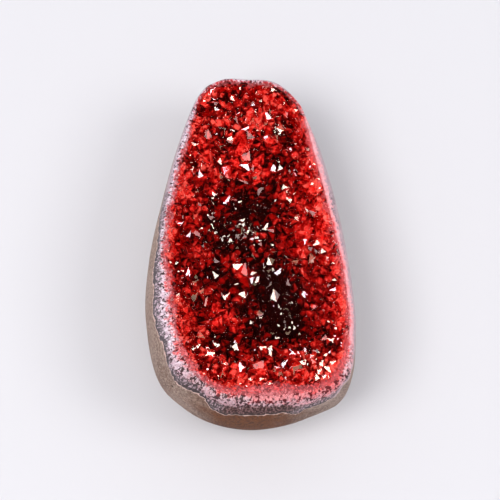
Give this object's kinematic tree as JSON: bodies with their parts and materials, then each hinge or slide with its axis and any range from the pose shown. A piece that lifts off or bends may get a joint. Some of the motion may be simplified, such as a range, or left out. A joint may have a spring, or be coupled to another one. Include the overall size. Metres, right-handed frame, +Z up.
{
  "type": "geode cluster",
  "caption": "Tapering, rounded, ground geode lying on its back, its open upper face a bowl lined with a crust of red quartz crystals.",
  "frame": {"origin": "middle of the object's box, on the plane of the flat rest face", "axes": "+Z up, out of the open face with the crystals; +Y along the stone towards its narrow end; +X to the right with the narrow end away"},
  "size_m": [0.0464, 0.08, 0.0286],
  "materials": {
    "stone": "smooth ground stone: taupe rind, pale line, grey agate band and pale pink quartz at the rim",
    "red_quartz": "clear deep red quartz points with flat shiny faces, pale pink and fine beside the rim"
  },
  "bodies": {
    "root": {"stone": "stone", "crystal_crust": "red_quartz"}
  },
  "joints": []
}
